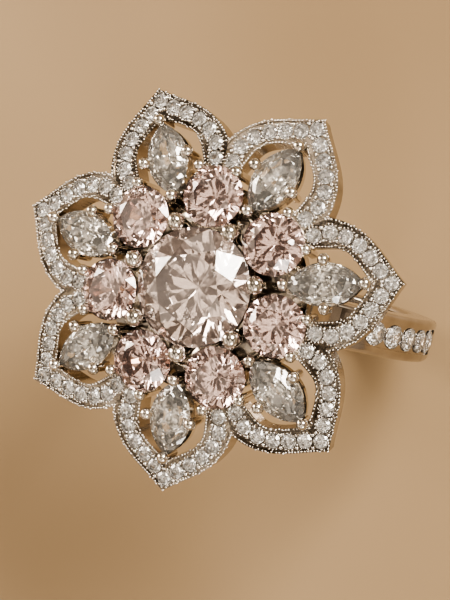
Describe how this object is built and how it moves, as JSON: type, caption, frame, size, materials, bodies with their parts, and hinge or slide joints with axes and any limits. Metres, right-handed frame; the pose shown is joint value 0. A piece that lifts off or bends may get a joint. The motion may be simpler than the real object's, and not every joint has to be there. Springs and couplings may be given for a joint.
{
  "type": "cocktail ring",
  "caption": "Finger ring with a pointed-petal flower head: pave petals framing marquise stones, pink stones round a large centre stone.",
  "frame": {"origin": "centre of the finger bore, midway along its length", "axes": "+Y runs along the finger, +Z points from the finger to the middle of the flower head, +X lies across the finger"},
  "size_m": [0.0233, 0.0232, 0.0255],
  "materials": {
    "white_metal": "polished white gold",
    "champagne_stone": "faceted, clear, very pale pink",
    "pink_stone": "faceted, clear, dusty pink",
    "clear_stone": "faceted, clear, colourless",
    "small_stone": "faceted, clear, colourless"
  },
  "bodies": {
    "root": {"shank": "white_metal", "gallery_ring": "white_metal", "shoulder_left": "white_metal", "shoulder_right": "white_metal", "centre_setting": "white_metal", "pink_setting_1": "white_metal", "pink_setting_2": "white_metal", "pink_setting_3": "white_metal", "pink_setting_4": "white_metal", "pink_setting_5": "white_metal", "pink_setting_6": "white_metal", "pink_setting_7": "white_metal", "marquise_setting_1": "white_metal", "marquise_setting_2": "white_metal", "marquise_setting_3": "white_metal", "marquise_setting_4": "white_metal", "marquise_setting_5": "white_metal", "marquise_setting_6": "white_metal", "marquise_setting_7": "white_metal", "petal_frame_1": "white_metal", "petal_frame_2": "white_metal", "petal_frame_3": "white_metal", "petal_frame_4": "white_metal", "petal_frame_5": "white_metal", "petal_frame_6": "white_metal", "petal_frame_7": "white_metal", "centre_stone": "champagne_stone", "pink_stone_1": "pink_stone", "pink_stone_2": "pink_stone", "pink_stone_3": "pink_stone", "pink_stone_4": "pink_stone", "pink_stone_5": "pink_stone", "pink_stone_6": "pink_stone", "pink_stone_7": "pink_stone", "marquise_stone_1": "clear_stone", "marquise_stone_2": "clear_stone", "marquise_stone_3": "clear_stone", "marquise_stone_4": "clear_stone", "marquise_stone_5": "clear_stone", "marquise_stone_6": "clear_stone", "marquise_stone_7": "clear_stone", "petal_stones_1": "small_stone", "petal_stones_2": "small_stone", "petal_stones_3": "small_stone", "petal_stones_4": "small_stone", "petal_stones_5": "small_stone", "petal_stones_6": "small_stone", "petal_stones_7": "small_stone", "shank_stones_left": "small_stone", "shank_stones_right": "small_stone"}
  },
  "joints": []
}
